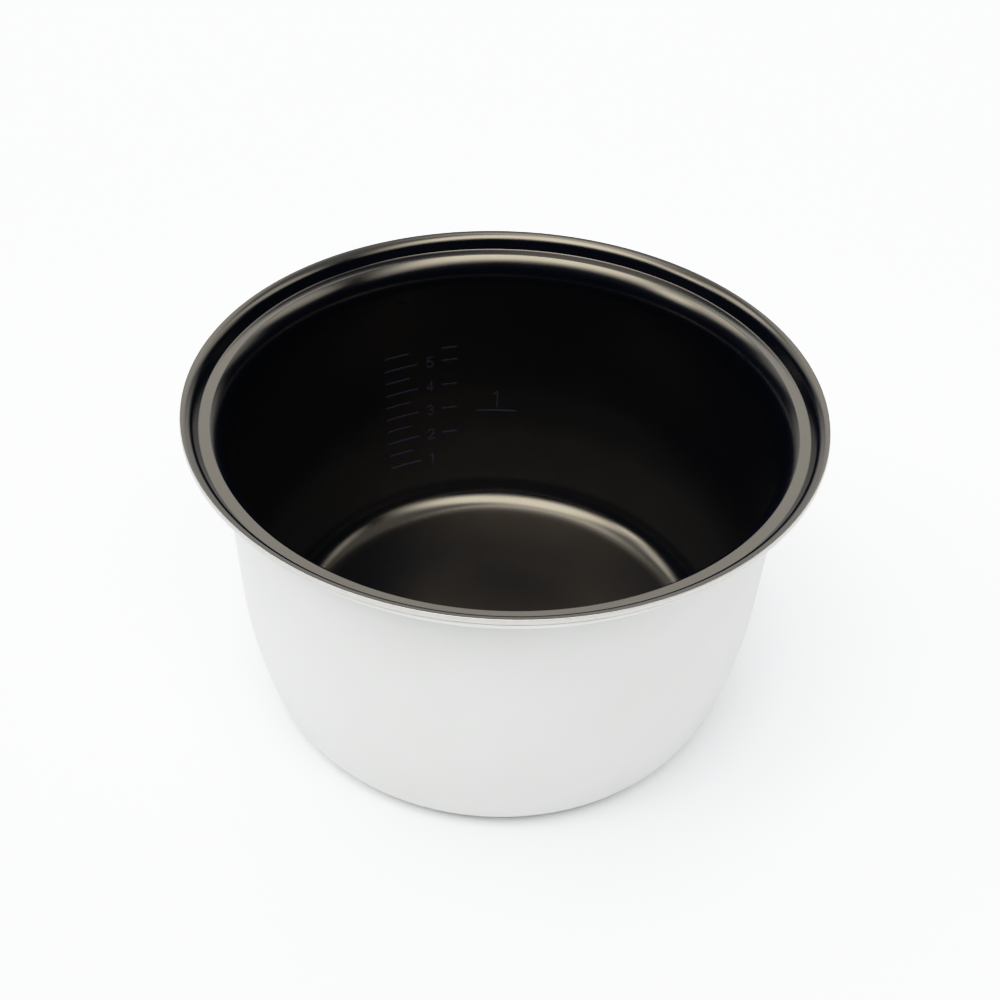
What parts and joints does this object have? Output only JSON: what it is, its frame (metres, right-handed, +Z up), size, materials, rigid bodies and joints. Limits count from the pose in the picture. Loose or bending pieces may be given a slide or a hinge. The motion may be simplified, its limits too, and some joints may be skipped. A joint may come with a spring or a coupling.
{
  "type": "rice cooker inner pot",
  "caption": "Round drawn-aluminium inner pot of an electric rice cooker, with a stepped flanged rim, dark non-stick inside, satin outside and a printed water scale.",
  "frame": {"origin": "on the pot's axis, in the plane of the flat ring that it stands on", "axes": "+Z up along the pot's axis, out of its mouth; +Y towards the printed scale"},
  "size_m": [0.2128, 0.2128, 0.124],
  "materials": {
    "bare_aluminium": "turned bare aluminium",
    "nonstick_coat": "semi-gloss near-black non-stick coat with a bronze fleck",
    "satin_coat": "satin light grey baked coat",
    "scale_ink": "faint grey print"
  },
  "bodies": {
    "root": {"pot_shell": "bare_aluminium", "inner_coat": "nonstick_coat", "outer_coat": "satin_coat", "whole_cup_lines": "scale_ink", "half_cup_lines": "scale_ink", "side_lines": "scale_ink", "cup_numerals": "scale_ink", "low_line": "scale_ink", "low_numeral": "scale_ink"}
  },
  "joints": []
}
